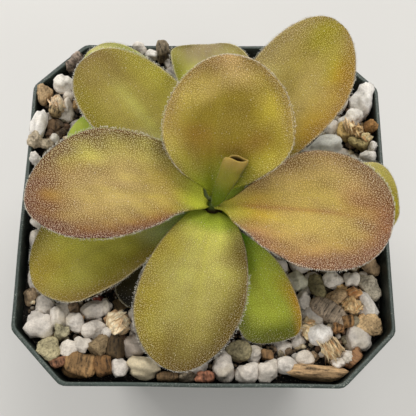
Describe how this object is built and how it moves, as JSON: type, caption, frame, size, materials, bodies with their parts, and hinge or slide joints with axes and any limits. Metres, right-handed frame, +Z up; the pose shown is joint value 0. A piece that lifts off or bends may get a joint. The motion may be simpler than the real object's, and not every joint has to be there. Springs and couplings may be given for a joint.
{
  "type": "potted butterwort",
  "caption": "Butterwort rosette of broad, cupped, sticky leaves in a tapered square nursery pot with cut corners, filled with coarse gritty substrate.",
  "frame": {"origin": "centre of the pot's flat underside", "axes": "+Z up out of the pot, -Y toward the front of the plant, +X to the right"},
  "size_m": [0.0783, 0.076, 0.0893],
  "materials": {
    "pot_plastic": "injection-moulded dark green polypropylene, satin, with fine dust and water marks",
    "substrate": "loose mix of white perlite, tan bark chips, golden vermiculite and greenish pumice",
    "leaf_base": "smooth pale green leaf bases",
    "leaf": "fleshy olive-gold leaf flushed red-brown at the margins, frosted with tiny sticky stalked glands"
  },
  "bodies": {
    "root": {"pot": "pot_plastic", "soil": "substrate", "crown": "leaf_base", "leaf_back_upright": "leaf", "leaf_left_upper": "leaf", "leaf_right_upper": "leaf", "leaf_front": "leaf", "leaf_back_left": "leaf", "leaf_back_right": "leaf", "leaf_front_right_low": "leaf", "leaf_front_left_low": "leaf", "leaf_back_low": "leaf", "leaf_right_lowest": "leaf", "leaf_back_left_lowest": "leaf", "leaf_left_lowest": "leaf", "leaf_front_left_old": "leaf", "leaf_young_rolled": "leaf"}
  },
  "joints": []
}
